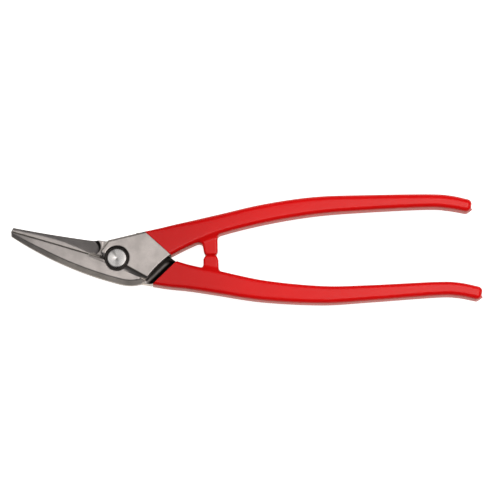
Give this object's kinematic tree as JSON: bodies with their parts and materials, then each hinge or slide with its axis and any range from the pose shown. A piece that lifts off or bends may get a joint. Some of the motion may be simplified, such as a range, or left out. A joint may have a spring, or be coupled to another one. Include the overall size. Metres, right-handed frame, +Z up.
{
  "type": "sheet-metal snips",
  "caption": "Single-pivot forged sheet-metal snips with a bellied lower blade, a slim upper blade, a bolted pivot and long dip-coated handles with stop lugs.",
  "frame": {"origin": "on the pivot axis, in the plane of the bolt's end face, which is the lowest plane of the tool as it lies", "axes": "+X from the blade tips towards the handle ends, +Y towards the front lever's handle, +Z up along the pivot, towards the bolt's head"},
  "size_m": [0.2815, 0.0675, 0.021],
  "materials": {
    "ground_steel": "fine ground flat faces, darker forged flanks and shoulders",
    "red_dip": "glossy red dip coat with soft edges and small drips at the handle ends",
    "bolt_steel": "turned face with fine concentric lines",
    "zinc_steel": "bright zinc plated, satin",
    "nylon": "natural nylon, slightly translucent white"
  },
  "bodies": {
    "front_half": {"lower_blade_lever": "ground_steel", "upper_handle_coat": "red_dip", "pivot_bolt": "bolt_steel", "flat_washer": "zinc_steel", "spring_washer": "zinc_steel", "lock_nut": "zinc_steel", "nut_insert_ring": "nylon"},
    "rear_half": {"upper_blade_lever": "ground_steel", "lower_handle_coat": "red_dip"}
  },
  "joints": [
    {"name": "jaw_pivot", "type": "hinge", "parent": "front_half", "child": "rear_half", "pos_m": [0, 0, 0.01], "axis": [0, 0, -1], "range_deg": [0, 35]}
  ]
}
